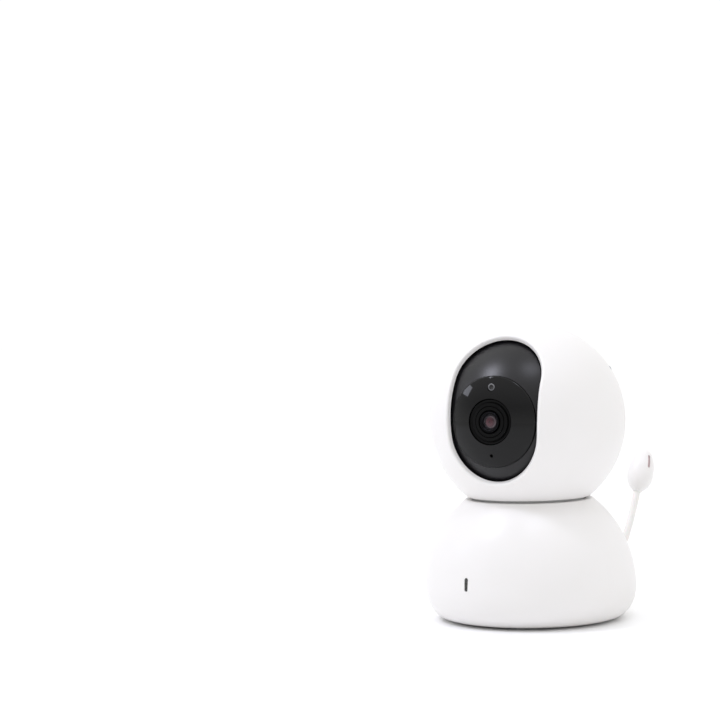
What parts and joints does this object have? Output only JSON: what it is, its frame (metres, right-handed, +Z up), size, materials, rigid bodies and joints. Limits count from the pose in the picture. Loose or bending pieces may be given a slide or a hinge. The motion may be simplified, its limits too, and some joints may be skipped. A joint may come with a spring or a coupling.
{
  "type": "baby monitor camera",
  "caption": "Pan and tilt baby monitor camera: white ball head with a dark tilting eye on a domed base, and a temperature probe on a short stiff cord.",
  "frame": {"origin": "centre of the ring of rubber feet, on the surface that the camera stands on", "axes": "+Z up, the front of the base faces -Y, +X to the right of someone who looks along +Y"},
  "size_m": [0.084, 0.1295, 0.1181],
  "materials": {
    "white_shell": "fine moulded satin white",
    "smoked_shell": "satin dark grey",
    "smoked_window": "polished dark smoke",
    "lens_black": "black, light-trapping",
    "lens_metal": "black anodised",
    "coated_glass": "coated lens glass",
    "light_guide": "clear guide, unlit",
    "grey_plastic": "moulded light grey",
    "acetal": "moulded natural acetal",
    "black_plastic": "moulded black",
    "soft_rubber": "moulded grey rubber",
    "cord_jacket": "smooth white jacket",
    "zinc_steel": "zinc plated",
    "motor_steel": "pressed steel",
    "circuit_board": "green solder mask",
    "chip_black": "moulded epoxy",
    "speaker_paper": "black paper cone",
    "lamp_clear": "clear epoxy",
    "bead_glass": "coated bead"
  },
  "bodies": {
    "base": {"base_shell": "white_shell", "base_plate": "white_shell", "rubber_feet": "soft_rubber", "base_screws": "zinc_steel", "ballast_weight": "motor_steel", "main_board": "circuit_board", "board_chips": "chip_black", "power_jack": "black_plastic", "power_switch_case": "black_plastic", "pair_switch": "black_plastic", "speaker_frame": "black_plastic", "speaker_cone": "speaker_paper", "speaker_magnet": "motor_steel", "status_light_pipe": "light_guide", "status_led": "lamp_clear", "probe_grommet": "cord_jacket", "bearing_bridge": "acetal", "bridge_screws": "zinc_steel", "thrust_washer": "acetal", "pan_motor": "motor_steel", "pan_motor_screws": "zinc_steel", "probe_cord": "cord_jacket", "bulb_cup": "white_shell", "bulb_cap": "white_shell", "thermistor": "bead_glass"},
    "pan_drive": {"pan_motor_shaft": "motor_steel", "pan_pinion": "acetal"},
    "head": {"turntable": "grey_plastic", "turntable_screws": "zinc_steel", "pan_gear": "acetal", "pan_retainer": "zinc_steel", "head_front_shell": "white_shell", "head_rear_shell": "white_shell", "shell_screws": "zinc_steel", "tilt_bracket": "black_plastic", "tilt_motor": "motor_steel", "tilt_motor_screws": "zinc_steel", "wire_harness": "black_plastic"},
    "tilt_drive": {"tilt_motor_shaft": "motor_steel", "tilt_pinion": "acetal"},
    "eye": {"tilt_gear": "acetal", "tilt_pins": "zinc_steel", "eye_cover": "smoked_shell", "eye_back_plate": "black_plastic", "eye_screws": "zinc_steel", "window": "smoked_window", "lens_bezel": "lens_black", "lens_barrel": "lens_metal", "lens_glass": "coated_glass", "lens_holder": "black_plastic", "sensor_board": "circuit_board", "image_sensor": "chip_black", "infrared_board": "circuit_board", "infrared_lamps": "lamp_clear", "light_sensor": "light_guide", "microphone": "motor_steel"},
    "power_knob": {"power_switch_knob": "grey_plastic"},
    "pair_cap": {"pair_button": "grey_plastic"}
  },
  "joints": [
    {"name": "head_pan", "type": "hinge", "parent": "base", "child": "head", "pos_m": [0, 0, 0.0791], "axis": [0, 0, 1], "range_deg": [-187.5, 162.5]},
    {"name": "pan_pinion_spin", "type": "hinge", "parent": "base", "child": "pan_drive", "pos_m": [0.01879, -0.01085, 0.034], "axis": [0, 0, 1], "range_deg": [-560, 643]},
    {"name": "eye_tilt", "type": "hinge", "parent": "head", "child": "eye", "pos_m": [0, 0, 0.0791], "axis": [-0.9763, -0.2164, 0], "range_deg": [-17, 43]},
    {"name": "tilt_pinion_spin", "type": "hinge", "parent": "head", "child": "tilt_drive", "pos_m": [-0.00364, 0.0164, 0.0791], "axis": [-0.9763, -0.2164, 0], "range_deg": [-108, 43]},
    {"name": "power_switch_slide", "type": "slide", "parent": "base", "child": "power_knob", "axis": [0.7771, 0.6293, 0], "range_m": [0, 0.003]},
    {"name": "pair_button_press", "type": "slide", "parent": "base", "child": "pair_cap", "axis": [-0.4226, -0.9063, 0], "range_m": [0, 0.0008], "stiffness_N_per_m": 400}
  ],
  "couplings": [
    {"joint": "pan_pinion_spin", "follows": "head_pan", "ratio": -3.4286},
    {"joint": "tilt_pinion_spin", "follows": "eye_tilt", "ratio": -2.5}
  ]
}
